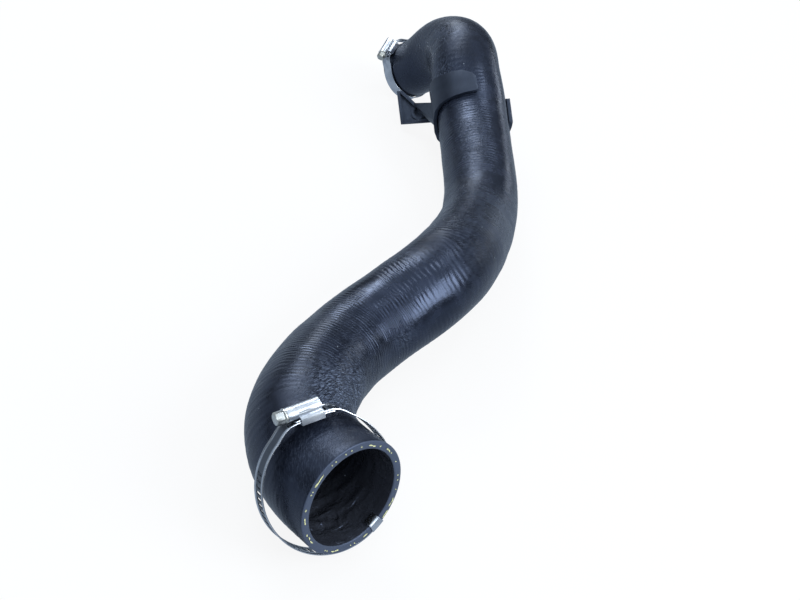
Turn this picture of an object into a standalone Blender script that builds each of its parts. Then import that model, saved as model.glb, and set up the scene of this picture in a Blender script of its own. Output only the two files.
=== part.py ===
# Charge air hose: a moulded rubber hose with two worm drive clamps, a
# spring strip over the near rim and a clip-on plastic holder.
# It lies as it comes to rest. Sizes are in millimetres, written in metres
# only where a mesh is made.
import math

import bmesh
import bpy
import numpy as np

for old in list(bpy.data.objects):
    bpy.data.objects.remove(old, do_unlink=True)

MM = 0.001

# Route of the hose's middle line: x, y, z and outer radius, near mouth first
NEAR_END = 35.0           # outer radius of the straight stretch at the mouth
ROUTE = [
    (-209.0, -228.0, 50.4, NEAR_END), (-209.0, -213.2, 47.9, NEAR_END),
    (-208.3, -198.4, 45.9, 34.85), (-205.0, -180.9, 45.3, 34.00),
    (-195.1, -161.6, 44.9, 32.85), (-180.4, -145.7, 42.2, 32.20),
    (-163.5, -132.2, 38.5, 31.90), (-145.4, -120.3, 35.0, 31.70),
    (-125.9, -110.2, 32.2, 31.60), (-105.3, -102.8, 32.1, 31.70),
    (-84.2, -99.5, 36.2, 31.90), (-63.2, -98.9, 42.9, 32.15),
    (-42.5, -98.4, 50.0, 32.35), (-21.8, -94.2, 53.7, 32.35),
    (-1.8, -85.3, 52.0, 32.20), (17.0, -74.5, 48.0, 31.95),
    (34.9, -62.9, 43.2, 31.70), (52.6, -50.8, 38.3, 31.45),
    (70.2, -38.1, 33.9, 31.20), (87.4, -24.6, 31.3, 31.05),
    (103.5, -9.8, 31.8, 31.00), (118.1, 6.3, 35.1, 31.00),
    (131.3, 23.4, 39.2, 31.05), (143.9, 40.8, 43.9, 31.20),
    (156.1, 58.2, 49.8, 31.35), (167.3, 75.4, 57.7, 31.45),
    (176.5, 92.0, 68.5, 31.50), (184.6, 109.1, 79.7, 31.50),
    (198.3, 129.3, 86.3, 31.20), (210.2, 151.3, 83.4, 30.20),
    (215.6, 171.2, 73.5, 29.20), (216.7, 185.7, 59.2, 28.30),
    (216.3, 197.7, 45.9, 27.50), (215.9, 208.7, 36.2, 27.00),
    (214.9, 219.3, 28.9, 26.75),
]
NEAR_BORE = 30.0          # inner radius where the near duct goes in
FAR_BORE = 22.5           # inner radius at the far end
WALL = 4.5                # wall of the body
RIM_CHAMFER = 0.7
HOSE_SIDES = 24
HOSE_STEP = 12.5          # spacing of the rings along the route

# Worm drive clamps
BAND_WIDTH = 10.5
BAND_THICK = 0.7
LAYER_RISE = 1.15         # tail of the band over its fixed end
SLOT_PITCH = 3.6
SLOT_EDGE = 2.1           # plain edge on each side of the slots
FIT = 0.3                 # air between pieces that fit together
SHELL = 0.8               # sheet of the housing
STRAP_LENGTH = 14.0
NEAR_BARREL = 6.0         # barrel past the strap, on the head's side
FAR_BARREL = 3.5
CREST_RADIUS = 3.1
ROOT_RADIUS = 2.3
FLANGE_RADIUS = 4.6
HEX_RADIUS = 4.05
HEX_LENGTH = 5.0

# Loose near clamp: how far the opened loop stands off the hose the long way
# and the short way, then its middle, its axis and its long axis
LONG_SLACK = 7.0
SHORT_SLACK = 4.1
NEAR_LOOP = dict(c=(-211.4, -208.0, 46.4), n=(-0.1781, -0.8896, 0.4206),
                 e=(0.5444, -0.4451, -0.7110),
                 a=NEAR_END + LONG_SLACK, b=NEAR_END + SHORT_SLACK,
                 housing=150.5, slots_from=212.0, lift=0.0)
FAR_SETBACK = 1.5         # rim of the hose past the far band
FAR_HOUSING = 34.0        # where the far clamp's housing sits, in degrees

# Spring strip over the near rim
CLIP_ANGLE = -123.5
CLIP_WIDTH = 8.0
CLIP_THICK = 0.6
CLIP_OUTER_LEG = 17.0
CLIP_INNER_LEG = 5.0

# Holder
HOLDER_GAP = 0.5
HOLDER_THICK = 3.2
PLATE = [(169.0, 177.0, 34.2), (195.9, 154.8, 40.8),
         (185.52, 140.82, 16.48), (163.4, 158.2, 10.2)]
PLATE_THICK = 3.0
BOSS_RADIUS = 7.2
BOSS_HOLE = 4.0
BOSS_PROUD = 2.5
ROOM_FROM = 500.0         # the stretch of hose that the holder keeps clear of
ROOM_SHORT = 10.0

# Directions at the holder: towards the open side, and to the arm's right
FRONT = np.array((-0.5985, -0.5559, 0.5768))
RIGHT = np.array((0.7515, -0.6390, 0.1639))

# Lays the hose down on its three lowest places, then moves it so that the
# origin is under the middle of the box
LEAN = np.array(((0.9998845, 0.0002561, -0.0151992),
                 (0.0002836, 0.9993697, 0.035497),
                 (0.0151987, -0.0354972, 0.9992542)))
SHIFT = np.array((4.377, -1.870, -2.439))


# Route of the hose

def natural_spline(knots, values):
    """Second derivatives of a natural cubic through the values."""
    n = len(knots)
    h = np.diff(knots)
    a = np.zeros((n, n))
    b = np.zeros((n, values.shape[1]))
    a[0, 0] = a[-1, -1] = 1.0
    for i in range(1, n - 1):
        a[i, i - 1] = h[i - 1]
        a[i, i] = 2.0 * (h[i - 1] + h[i])
        a[i, i + 1] = h[i]
        b[i] = 6.0 * ((values[i + 1] - values[i]) / h[i]
                      - (values[i] - values[i - 1]) / h[i - 1])
    return np.linalg.solve(a, b)


class Route:
    """The hose's middle line, with radius and a frame at each place."""

    def __init__(self, rows):
        rows = np.array(rows, float)
        knots = np.concatenate(([0.0], np.cumsum(
            np.linalg.norm(np.diff(rows[:, :3], axis=0), axis=1))))
        second = natural_spline(knots, rows)
        fine = np.linspace(0.0, knots[-1], int(knots[-1]) + 1)
        out = []
        for t in fine:
            i = min(np.searchsorted(knots, t, side="right") - 1, len(knots) - 2)
            h = knots[i + 1] - knots[i]
            p = (knots[i + 1] - t) / h
            q = (t - knots[i]) / h
            out.append(p * rows[i] + q * rows[i + 1]
                       + ((p ** 3 - p) * second[i]
                          + (q ** 3 - q) * second[i + 1]) * h * h / 6.0)
        out = np.array(out)
        self.p = out[:, :3]
        self.r = out[:, 3]
        self.s = np.concatenate(([0.0], np.cumsum(
            np.linalg.norm(np.diff(self.p, axis=0), axis=1))))
        self.length = self.s[-1]
        t = np.gradient(self.p, axis=0)
        self.t = t / np.linalg.norm(t, axis=1)[:, None]
        up = np.array((0.0, 0.0, 1.0))
        n = up - (up @ self.t[0]) * self.t[0]
        frames = []
        for tangent in self.t:
            n = n - (n @ tangent) * tangent
            n = n / np.linalg.norm(n)
            frames.append(n)
        self.n = np.array(frames)

    def at(self, s):
        """Place, tangent, normal, side and radius; straight past the ends."""
        c = min(max(s, 0.0), self.length)
        p = np.array([np.interp(c, self.s, self.p[:, k]) for k in range(3)])
        t = np.array([np.interp(c, self.s, self.t[:, k]) for k in range(3)])
        n = np.array([np.interp(c, self.s, self.n[:, k]) for k in range(3)])
        t /= np.linalg.norm(t)
        n -= (n @ t) * t
        n /= np.linalg.norm(n)
        return p + (s - c) * t, t, n, np.cross(t, n), np.interp(c, self.s, self.r)

    def clearance(self, q):
        """How far a point is outside the hose's outer surface."""
        q = np.asarray(q, float)
        i = int(np.linalg.norm(self.p - q, axis=1).argmin())
        w = q - self.p[i]
        w = w - (w @ self.t[i]) * self.t[i]
        return np.linalg.norm(w) - self.r[i]


ROUTE_LINE = Route(ROUTE)


def bore_radius(s):
    """Inner radius: the sockets at the ends, the body's wall between."""
    body = ROUTE_LINE.at(s)[4] - WALL
    near = min(max((s - 26.0) / 22.0, 0.0), 1.0)
    far = min(max((ROUTE_LINE.length - s - 14.0) / 30.0, 0.0), 1.0)
    near = near * near * (3 - 2 * near)
    far = far * far * (3 - 2 * far)
    body = NEAR_BORE * (1 - near) + body * near
    return FAR_BORE * (1 - far) + body * far


# Meshes

def material(name, colour, rough, metal):
    m = bpy.data.materials.new(name)
    m.use_nodes = True
    shader = m.node_tree.nodes["Principled BSDF"]
    shader.inputs["Base Color"].default_value = (*colour, 1.0)
    shader.inputs["Roughness"].default_value = rough
    shader.inputs["Metallic"].default_value = metal
    return m


RUBBER = ("rubber", (0.020, 0.024, 0.032), 0.42, 0.0)
ZINC = ("zinc plated steel", (0.62, 0.64, 0.66), 0.28, 1.0)
STEEL = ("bright strip steel", (0.58, 0.60, 0.63), 0.25, 1.0)
PLASTIC = ("black nylon", (0.012, 0.014, 0.020), 0.45, 0.0)


def make(name, points, faces, look, origin=(0.0, 0.0, 0.0)):
    """A closed object from points in millimetres, faces turned outwards;
    a piece that turns has its origin on its axis."""
    origin = np.array(origin, float)
    if origin.any():
        origin = LEAN @ origin + SHIFT
    pts = (np.array(points, float) @ LEAN.T + SHIFT - origin) * MM
    mesh = bpy.data.meshes.new(name)
    mesh.from_pydata([tuple(p) for p in pts], [], [tuple(f) for f in faces])
    mesh.update()
    volume = 0.0
    for f in mesh.polygons:
        v = [np.array(mesh.vertices[i].co) for i in f.vertices]
        for k in range(1, len(v) - 1):
            volume += np.dot(v[0], np.cross(v[k], v[k + 1]))
    if volume < 0:
        mesh.flip_normals()
    mesh.materials.append(material(*look))
    ob = bpy.data.objects.new(name, mesh)
    ob.location = origin * MM
    bpy.context.collection.objects.link(ob)
    return ob


def loops_to_mesh(loops, closed_round=True, caps=False):
    """Joins loops of equal count in order; a cycle, or capped at both ends."""
    count = len(loops[0])
    points = [p for loop in loops for p in loop]
    faces = []
    last = len(loops) if closed_round else len(loops) - 1
    for i in range(last):
        a = i * count
        b = ((i + 1) % len(loops)) * count
        for k in range(count):
            m = (k + 1) % count
            faces.append((a + k, a + m, b + m, b + k))
    if caps:
        faces.append(tuple(range(count))[::-1])
        faces.append(tuple((len(loops) - 1) * count + k for k in range(count)))
    return points, faces


def cell_sheet(place, us, vs, filled, round_u, low, high):
    """A sheet with real openings: place(u, v, h) gives the surface at
    height h, filled(i, j) says which cells of the grid have material."""
    nu = len(us) if round_u else len(us) - 1
    nv = len(vs) - 1
    points, index, faces = [], {}, []

    def vert(i, j, top):
        if round_u:
            i %= len(us)
        key = (i, j, top)
        if key not in index:
            index[key] = len(points)
            points.append(place(us[i], vs[j], high if top else low))
        return index[key]

    def full(i, j):
        if j < 0 or j >= nv:
            return False
        if round_u:
            i %= nu
        elif i < 0 or i >= nu:
            return False
        return filled(i, j)

    for i in range(nu):
        for j in range(nv):
            if not full(i, j):
                continue
            a, b, c, d = (i, j), (i + 1, j), (i + 1, j + 1), (i, j + 1)
            faces.append(tuple(vert(*q, True) for q in (a, b, c, d)))
            faces.append(tuple(vert(*q, False) for q in (d, c, b, a)))
            for p, q, nxt in ((a, b, (i, j - 1)), (b, c, (i + 1, j)),
                              (c, d, (i, j + 1)), (d, a, (i - 1, j))):
                if not full(*nxt):
                    faces.append((vert(*p, False), vert(*q, False),
                                  vert(*q, True), vert(*p, True)))
    return points, faces


def box_from(corners, direction, depth):
    """A slab: four corners and the same four moved along a direction."""
    d = np.asarray(direction, float) * depth
    front = [np.asarray(c, float) for c in corners]
    points = front + [c + d for c in front]
    faces = [(0, 1, 2, 3), (7, 6, 5, 4), (0, 4, 5, 1), (1, 5, 6, 2),
             (2, 6, 7, 3), (3, 7, 4, 0)]
    return points, faces


def hull(name, points, look):
    """The convex solid around the points."""
    bm = bmesh.new()
    for p in points:
        bm.verts.new((LEAN @ np.asarray(p, float) + SHIFT) * MM)
    result = bmesh.ops.convex_hull(bm, input=bm.verts)
    loose = [v for v in result["geom_interior"]
             if isinstance(v, bmesh.types.BMVert)]
    bmesh.ops.delete(bm, geom=loose, context="VERTS")
    bmesh.ops.recalc_face_normals(bm, faces=bm.faces)
    mesh = bpy.data.meshes.new(name)
    bm.to_mesh(mesh)
    bm.free()
    mesh.materials.append(material(*look))
    ob = bpy.data.objects.new(name, mesh)
    bpy.context.collection.objects.link(ob)
    return ob


def tidy(ob):
    """Clears what a cut leaves: doubled points, needle faces, pinholes."""
    bm = bmesh.new()
    bm.from_mesh(ob.data)
    bmesh.ops.triangulate(bm, faces=bm.faces)
    bmesh.ops.remove_doubles(bm, verts=bm.verts, dist=2e-6)
    bmesh.ops.dissolve_degenerate(bm, edges=bm.edges, dist=2e-6)
    open_edges = [e for e in bm.edges if len(e.link_faces) == 1]
    if open_edges:
        bmesh.ops.holes_fill(bm, edges=open_edges, sides=0)
    bmesh.ops.triangulate(bm, faces=bm.faces)
    bmesh.ops.recalc_face_normals(bm, faces=bm.faces)
    bm.to_mesh(ob.data)
    bm.free()


def combine(base, others, operation):
    """Joins or cuts the other solids into the base, which keeps its name."""
    for other in others:
        step = base.modifiers.new("step", "BOOLEAN")
        step.operation = operation
        step.solver = "EXACT"
        step.object = other
        bpy.context.view_layer.update()
        graph = bpy.context.evaluated_depsgraph_get()
        result = bpy.data.meshes.new_from_object(base.evaluated_get(graph))
        base.modifiers.clear()
        base.data = result
        tidy(base)
        bpy.data.objects.remove(other, do_unlink=True)
    return base


# Hose

def ring(s, radius, sides=HOSE_SIDES):
    p, t, n, b, _ = ROUTE_LINE.at(s)
    out = []
    for k in range(sides):
        g = 2 * math.pi * k / sides
        out.append(p + radius * (math.cos(g) * n + math.sin(g) * b))
    return out


def make_hose():
    length = ROUTE_LINE.length
    count = int(round(length / HOSE_STEP))
    stations = [length * k / count for k in range(1, count)]
    loops = [ring(0.0, NEAR_BORE + RIM_CHAMFER),
             ring(0.0, NEAR_END - RIM_CHAMFER),
             ring(RIM_CHAMFER, NEAR_END)]
    loops += [ring(s, ROUTE_LINE.at(s)[4]) for s in stations]
    end = ROUTE_LINE.r[-1]
    loops += [ring(length - RIM_CHAMFER, end), ring(length, end - RIM_CHAMFER),
              ring(length, FAR_BORE + RIM_CHAMFER),
              ring(length - RIM_CHAMFER, FAR_BORE)]
    loops += [ring(s, bore_radius(s)) for s in reversed(stations)]
    loops.append(ring(RIM_CHAMFER, NEAR_BORE))
    return make("hose", *loops_to_mesh(loops), RUBBER)


# Clamps

class Loop:
    """The line of a clamp band: an oval about the hose, flat under the
    housing, with the tail rising over the fixed end."""

    def __init__(self, c, n, e, a, b, housing, slots_from, lift):
        self.c = np.array(c, float)
        self.n = np.array(n, float) / np.linalg.norm(n)
        e = np.array(e, float)
        e = e - (e @ self.n) * self.n
        self.e = e / np.linalg.norm(e)
        self.f = np.cross(self.n, self.e)
        self.a, self.b = a, b
        self.h = math.radians(housing)
        self.lift = lift
        mean = 0.5 * (a + b)
        self.straight = (STRAP_LENGTH / 2 + 1.2) / mean
        self.start = self.h - (STRAP_LENGTH / 2 + 7.0) / mean
        self.end = self.h + 2 * math.pi + (STRAP_LENGTH / 2 + 3.5) / mean
        self.slots_from = math.radians(slots_from)
        base = self.oval(self.h, 0.0)
        step = self.oval(self.h + 1e-3, 0.0) - self.oval(self.h - 1e-3, 0.0)
        self.tangent = step / np.linalg.norm(step)
        self.out = np.cross(self.tangent, self.n)
        if self.out @ (base - self.c) < 0:
            self.out = -self.out
        self.top = (base - self.c) @ self.out
        self.seat = base + self.out * lift

    def oval(self, g, rise):
        return (self.c + (self.a + rise) * math.cos(g) * self.e
                + (self.b + rise) * math.sin(g) * self.f)

    def point(self, g, w, h):
        turn = (g - self.h + math.pi) % (2 * math.pi) - math.pi
        raised = (g - (self.start + 2 * math.pi - 0.75)) / 0.62
        raised = min(max(raised, 0.0), 1.0)
        raised = raised * raised * (3 - 2 * raised) * LAYER_RISE
        p = self.oval(g, 0.0)
        flat = 1.0 - (abs(turn) - self.straight) / 0.42
        flat = min(max(flat, 0.0), 1.0)
        flat = flat * flat * (3 - 2 * flat)
        p = p + flat * (self.top + self.lift - (p - self.c) @ self.out) * self.out
        radial = (p - self.c)
        radial = radial - (radial @ self.n) * self.n
        radial = radial / np.linalg.norm(radial)
        radial = radial * (1 - flat) + self.out * flat
        radial = radial / np.linalg.norm(radial)
        return p + w * self.n + (h + raised) * radial


def make_band(name, loop):
    mean = 0.5 * (loop.a + loop.b)
    step = SLOT_PITCH / 2 / mean
    slotted = loop.end - 2.5 / mean - loop.slots_from
    pairs = int(slotted / (2 * step))
    first = loop.end - 2.5 / mean - pairs * 2 * step
    plain = max(int((first - loop.start) / 0.16), 4)
    us = [loop.start + (first - loop.start) * k / plain for k in range(plain)]
    mark = len(us)
    us += [first + step * k for k in range(pairs * 2 + 1)]
    us.append(loop.end)
    half = BAND_WIDTH / 2
    vs = [-half, -half + SLOT_EDGE, half - SLOT_EDGE, half]

    def filled(i, j):
        inside = mark <= i < mark + pairs * 2
        return not (inside and (i - mark) % 2 == 1 and j == 1)

    points, faces = cell_sheet(lambda u, v, h: loop.point(u, v, h), us, vs,
                               filled, False, -BAND_THICK / 2, BAND_THICK / 2)
    return make(name, points, faces, STEEL)


def screw_height():
    return LAYER_RISE + BAND_THICK / 2 + FIT + CREST_RADIUS


def housing_profile():
    """Outer and inner outline of the strap and barrel, across the band."""
    low = -BAND_THICK / 2 - FIT
    high = LAYER_RISE + BAND_THICK / 2 + FIT
    half = BAND_WIDTH / 2 + FIT
    bore = CREST_RADIUS + FIT
    centre = screw_height()
    arc = 13
    outer = [(-half - SHELL, low - SHELL), (half + SHELL, low - SHELL),
             (half + SHELL, high + 0.5), (half - 0.6, high + 1.5)]
    inner = [(-half, low), (half, low), (half, high), (2.9, high)]
    for k in range(arc):
        g = math.radians(-25 + 230 * k / (arc - 1))
        outer.append(((bore + SHELL) * math.cos(g),
                      centre + (bore + SHELL) * math.sin(g)))
        q = math.radians(-48 + 276 * k / (arc - 1))
        inner.append((bore * math.cos(q), centre + bore * math.sin(q)))
    outer += [(-half + 0.6, high + 1.5), (-half - SHELL, high + 0.5)]
    inner += [(-2.9, high), (-half, high)]
    return outer, inner


def on_housing(loop, along, across, height):
    return (loop.seat + along * loop.tangent + across * loop.n
            + height * loop.out)


def make_housing(name, loop, head_side, barrel):
    outer, inner = housing_profile()
    ends = (-STRAP_LENGTH / 2, STRAP_LENGTH / 2)
    loops = [[on_housing(loop, ends[0], *q) for q in outer],
             [on_housing(loop, ends[1], *q) for q in outer],
             [on_housing(loop, ends[1], *q) for q in inner],
             [on_housing(loop, ends[0], *q) for q in inner]]
    body = make(name, *loops_to_mesh(loops), ZINC)
    bore = CREST_RADIUS + FIT
    centre = screw_height()

    def circle(along, radius):
        return [on_housing(loop, along, radius * math.cos(2 * math.pi * k / 18),
                           centre + radius * math.sin(2 * math.pi * k / 18))
                for k in range(18)]

    a = head_side * (STRAP_LENGTH / 2 - 0.6)
    b = head_side * (STRAP_LENGTH / 2 + barrel)
    tube = make("barrel", *loops_to_mesh(
        [circle(a, bore + SHELL), circle(b, bore + SHELL),
         circle(b, bore + 0.02), circle(a, bore + 0.02)]), ZINC)
    # the barrel is open below, where the band runs on under the screw
    top = LAYER_RISE + BAND_THICK / 2 + FIT
    far = b + head_side * 1.0
    slot = make("slot", *box_from(
        [on_housing(loop, a - head_side, -6.0, top),
         on_housing(loop, far, -6.0, top), on_housing(loop, far, 6.0, top),
         on_housing(loop, a - head_side, 6.0, top)], -loop.out, 5.0), ZINC)
    combine(tube, [slot], "DIFFERENCE")
    return combine(body, [tube], "UNION")


def make_screw(name, loop, head_side, barrel):
    centre = screw_height()
    sides = 12
    start = -head_side * (STRAP_LENGTH / 2 - 0.6)
    stop = head_side * (STRAP_LENGTH / 2 + barrel - 1.0)
    pitch = 3.0
    rows = 24
    loops = []

    def loop_of(along, radii):
        out = []
        for k in range(sides):
            g = 2 * math.pi * k / sides
            out.append(on_housing(loop, along, radii[k] * math.cos(g),
                                  centre + radii[k] * math.sin(g)))
        return out

    for i in range(rows + 1):
        x = start + (stop - start) * i / rows
        fade = min(1.0, i / 3.0, (rows - i) / 3.0)
        radii = []
        for k in range(sides):
            phase = (abs(x - start) / pitch + k / sides) % 1.0
            tooth = max(0.0, 1.0 - abs(phase - 0.5) * 3.2)
            radii.append(ROOT_RADIUS + (CREST_RADIUS - ROOT_RADIUS)
                         * min(1.0, tooth * 1.6) * fade)
        loops.append(loop_of(x, radii))
    seat = head_side * (STRAP_LENGTH / 2 + barrel + FIT)
    hexagon = [HEX_RADIUS * (1.0 if k % 2 == 0 else math.cos(math.pi / 6))
               for k in range(sides)]
    loops.append(loop_of(seat, [ROOT_RADIUS] * sides))
    loops.append(loop_of(seat, [FLANGE_RADIUS] * sides))
    loops.append(loop_of(seat + head_side * 1.0, [FLANGE_RADIUS] * sides))
    loops.append(loop_of(seat + head_side * 1.5, hexagon))
    loops.append(loop_of(seat + head_side * (1.5 + HEX_LENGTH - 0.6), hexagon))
    loops.append(loop_of(seat + head_side * (1.5 + HEX_LENGTH),
                         [HEX_RADIUS * 0.80] * sides))
    return make(name, *loops_to_mesh(loops, False, True), ZINC,
                on_housing(loop, 0.0, 0.0, centre))


def make_clamp(prefix, loop, head_side, barrel):
    make_band(prefix + "_band", loop)
    make_housing(prefix + "_housing", loop, head_side, barrel)
    make_screw(prefix + "_screw", loop, head_side, barrel)


def far_loop():
    s = ROUTE_LINE.length - FAR_SETBACK - BAND_WIDTH / 2
    p, t, n, b, r = ROUTE_LINE.at(s)
    radius = ROUTE_LINE.at(s - BAND_WIDTH / 2)[4] + 2 * FIT + BAND_THICK / 2
    up = np.array((0.0, 0.0, 1.0))
    e = up - (up @ t) * t
    return dict(c=p, n=-t, e=e, a=radius, b=radius, housing=FAR_HOUSING,
                slots_from=FAR_HOUSING + 170.0,
                lift=SHELL + 2 * FIT - 0.2)


# Spring strip over the near rim

def make_rim_clip():
    gap = FIT + CLIP_THICK / 2
    outer = NEAR_END + gap
    inner = NEAR_BORE - gap
    line = [(CLIP_OUTER_LEG, outer), (RIM_CHAMFER, outer),
            (-gap * 0.75, outer - 0.6), (-gap, outer - 1.4),
            (-gap, inner + 1.4), (-gap * 0.75, inner + 0.6),
            (RIM_CHAMFER, inner), (CLIP_INNER_LEG, inner)]
    line = np.array(line)
    step = np.gradient(line, axis=0)
    side = np.stack([-step[:, 1], step[:, 0]], axis=1)
    side /= np.linalg.norm(side, axis=1)[:, None]
    p0, t0, _, _, _ = ROUTE_LINE.at(0.0)
    e1 = np.cross(-t0, (0.0, 0.0, 1.0))
    e1 /= np.linalg.norm(e1)
    e2 = np.cross(e1, -t0)
    middle = math.radians(CLIP_ANGLE)
    spread = CLIP_WIDTH / (NEAR_END + NEAR_BORE)

    def place(u, v, h):
        s, r = line[int(u)] + h * side[int(u)]
        g = middle + v
        radial = math.cos(g) * e1 + math.sin(g) * e2
        centre = ROUTE_LINE.at(s)[0]
        return centre + r * radial

    points, faces = cell_sheet(place, list(range(len(line))),
                               [-spread, -spread / 3, spread / 3, spread],
                               lambda i, j: True, False,
                               -CLIP_THICK / 2, CLIP_THICK / 2)
    return make("near_rim_clip", points, faces, STEEL)


# Holder

def front_frame(s):
    """Directions across the hose: to the open front, and to its right."""
    p, t, _, _, r = ROUTE_LINE.at(s)
    n = FRONT - (FRONT @ t) * t
    n /= np.linalg.norm(n)
    b = np.cross(t, n)
    if b @ RIGHT < 0:
        b = -b
    return p, n, b, r


# angle about the hose, lower edge and upper edge along it, flare
HOLDER_EDGE = [
    (8.0, 536.5, 553.0, 0.0), (4.0, 534.5, 556.5, 0.0),
    (-8.0, 533.5, 560.5, 0.0), (-24.0, 532.5, 562.0, 0.0),
    (-40.0, 533.0, 563.0, 0.0), (-56.0, 533.0, 565.0, 0.0),
    (-72.0, 532.0, 566.0, 0.0), (-86.0, 528.0, 564.0, 0.0),
    (-98.0, 520.5, 562.0, 0.0), (-112.0, 519.0, 560.0, 0.0),
    (-130.0, 519.0, 558.0, 0.0), (-150.0, 519.0, 556.0, 0.0),
    (-172.0, 519.0, 554.0, 0.0), (-194.0, 519.0, 553.0, 0.0),
    (-216.0, 519.0, 552.0, 0.0), (-236.0, 519.5, 551.0, 0.0),
    (-250.0, 520.5, 550.0, 0.0), (-260.0, 522.0, 549.0, 0.4),
    (-266.0, 524.5, 547.5, 0.9),
]


def make_holder():
    rows = [0.0, 1.0 / 3, 2.0 / 3, 1.0]

    def place(i, v, h):
        angle, low, high, flare = HOLDER_EDGE[int(i)]
        s = low + (high - low) * v
        p, n, b, r = front_frame(s)
        g = math.radians(angle)
        return p + (r + HOLDER_GAP + flare + h) * (math.cos(g) * n
                                                   + math.sin(g) * b)

    points, faces = cell_sheet(place, list(range(len(HOLDER_EDGE))), rows,
                               lambda i, j: True, False, 0.0, HOLDER_THICK)
    holder = make("hose_holder", points, faces, PLASTIC)

    tl, tr, br, bl = [np.array(c, float) for c in PLATE]
    across = (tr - tl) / np.linalg.norm(tr - tl)
    normal = np.cross(tr - tl, bl - tl)
    normal /= np.linalg.norm(normal)
    if normal @ FRONT < 0:
        normal = -normal
    up = np.cross(normal, across)
    if up @ (tl - bl) < 0:
        up = -up
    corner = tl + across * 6.0
    plate = make("plate", *box_from([tl, corner, br, bl], -normal,
                                    PLATE_THICK), PLASTIC)

    # rim along the free edge and the foot of the plate
    sink = -1.3 * normal

    def raised(corners, height):
        return box_from([c + sink for c in corners], normal, height + 1.3)

    rim = make("rim", *raised(
        [tl - across * 0.15 + up * 0.2, tl + across * 3.0 + up * 0.2,
         bl + across * 3.0 - up * 0.2, bl - across * 0.15 - up * 0.2], 3.5),
        PLASTIC)
    foot = make("foot", *raised(
        [bl + (tl - bl) * 0.10 + across * 1.1, br + (tr - br) * 0.10 + across * 0.4,
         br + across * 0.4 - up * 0.35, bl + across * 1.1 - up * 0.35], 3.1),
        PLASTIC)

    # slanted flange along the plate's long edge
    a = br + (tr - br) * 0.03 - across * 0.8
    b = tl + (bl - tl) * 0.03 + across * 3.4
    line = (b - a) / np.linalg.norm(b - a)
    wide = np.cross(line, normal) * 1.5
    rib = make("rib", *raised([a - wide, b - wide, b + wide, a + wide], 9.0),
               PLASTIC)

    # web from the flange and the plate's corner to the back of the collar
    def on_collar(angle, s, h):
        p, n, c, r = front_frame(s)
        g = math.radians(angle)
        return p + (r + HOLDER_GAP + h) * (math.cos(g) * n + math.sin(g) * c)

    patch = [on_collar(g, s, 0.8) for g in (-92, -106, -120)
             for s in (529.0, 552.0)]
    near = [a + (b - a) * 0.62, a + (b - a) * 0.04]
    web = hull("web", patch + [q + normal * d for q in near
                               for d in (-2.3, 3.0)], PLASTIC)

    # boss
    middle = 0.5 * (tl + br) * 0.46 + 0.5 * (tr + bl) * 0.54
    middle = middle + across * 2.0 - up * 5.0

    def disc(radius, low, high, sides=16):
        loops = []
        for h in (low, high):
            loops.append([middle + normal * h
                          + radius * (math.cos(2 * math.pi * k / sides) * across
                                      + math.sin(2 * math.pi * k / sides) * up)
                          for k in range(sides)])
        return loops_to_mesh(loops, False, True)

    boss = make("boss", *disc(BOSS_RADIUS, -1.7, BOSS_PROUD), PLASTIC)
    hole = make("hole", *disc(BOSS_HOLE, -2.0, 14.0), PLASTIC)
    room = []
    for k in range(12):
        s = ROOM_FROM + (ROUTE_LINE.length - ROOM_SHORT - ROOM_FROM) * k / 11
        room.append(ring(s, ROUTE_LINE.at(s)[4] + HOLDER_GAP - 0.05, 24))
    keep_out = make("room", *loops_to_mesh(room, False, True), PLASTIC)
    combine(holder, [web, plate, rim, foot, rib, boss], "UNION")
    combine(holder, [hole, keep_out], "DIFFERENCE")
    return holder


make_hose()
make_clamp("near_clamp", Loop(**NEAR_LOOP), 1, NEAR_BARREL)
make_rim_clip()
make_clamp("far_clamp", Loop(**far_loop()), 1, FAR_BARREL)
make_holder()
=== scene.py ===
# %% [markdown]
# # A charge air hose
# The real object is one moulded rubber hose with two bends. It has a worm
# drive clamp at each end, a small steel strip over the near rim and a
# clip-on plastic holder near the far end. The solids come from the CAD
# model. This script gives every piece its finish, and lays a finer skin,
# with its wrapping marks and wrinkles, along the hose's own middle line.

# %% Load the frame
import math

import bpy
import numpy as np
from mathutils import Matrix, Vector


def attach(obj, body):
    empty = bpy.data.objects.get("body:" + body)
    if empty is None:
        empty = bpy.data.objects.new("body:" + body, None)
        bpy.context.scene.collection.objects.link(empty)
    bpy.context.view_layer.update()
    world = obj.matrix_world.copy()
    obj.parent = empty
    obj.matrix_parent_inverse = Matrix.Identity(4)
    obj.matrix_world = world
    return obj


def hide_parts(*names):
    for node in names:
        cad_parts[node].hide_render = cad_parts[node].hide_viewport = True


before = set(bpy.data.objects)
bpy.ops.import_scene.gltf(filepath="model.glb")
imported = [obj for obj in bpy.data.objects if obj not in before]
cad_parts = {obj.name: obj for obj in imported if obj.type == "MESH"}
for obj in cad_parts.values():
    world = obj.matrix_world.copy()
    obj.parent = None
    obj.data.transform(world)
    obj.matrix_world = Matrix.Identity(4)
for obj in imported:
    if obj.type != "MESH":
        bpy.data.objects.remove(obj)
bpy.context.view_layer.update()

# %% [markdown]
# ## Where things are
# The hose's route was measured in millimetres, before the hose was laid
# down on its three lowest places. `LEAN` and `SHIFT` take a measured point
# to its place in the scene, so the same numbers serve the camera and the
# pieces.

# %% From the measured frame to the scene
MM = 0.001
LEAN = np.array(((0.9998845, 0.0002561, -0.0151992),
                 (0.0002836, 0.9993697, 0.035497),
                 (0.0151987, -0.0354972, 0.9992542)))
SHIFT = np.array((4.377, -1.870, -2.439))


def in_scene(points):
    """Measured points in millimetres to scene points in metres."""
    return (np.asarray(points, float) @ LEAN.T + SHIFT) * MM


def turned(direction):
    d = LEAN @ np.asarray(direction, float)
    return d / np.linalg.norm(d)


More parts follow.
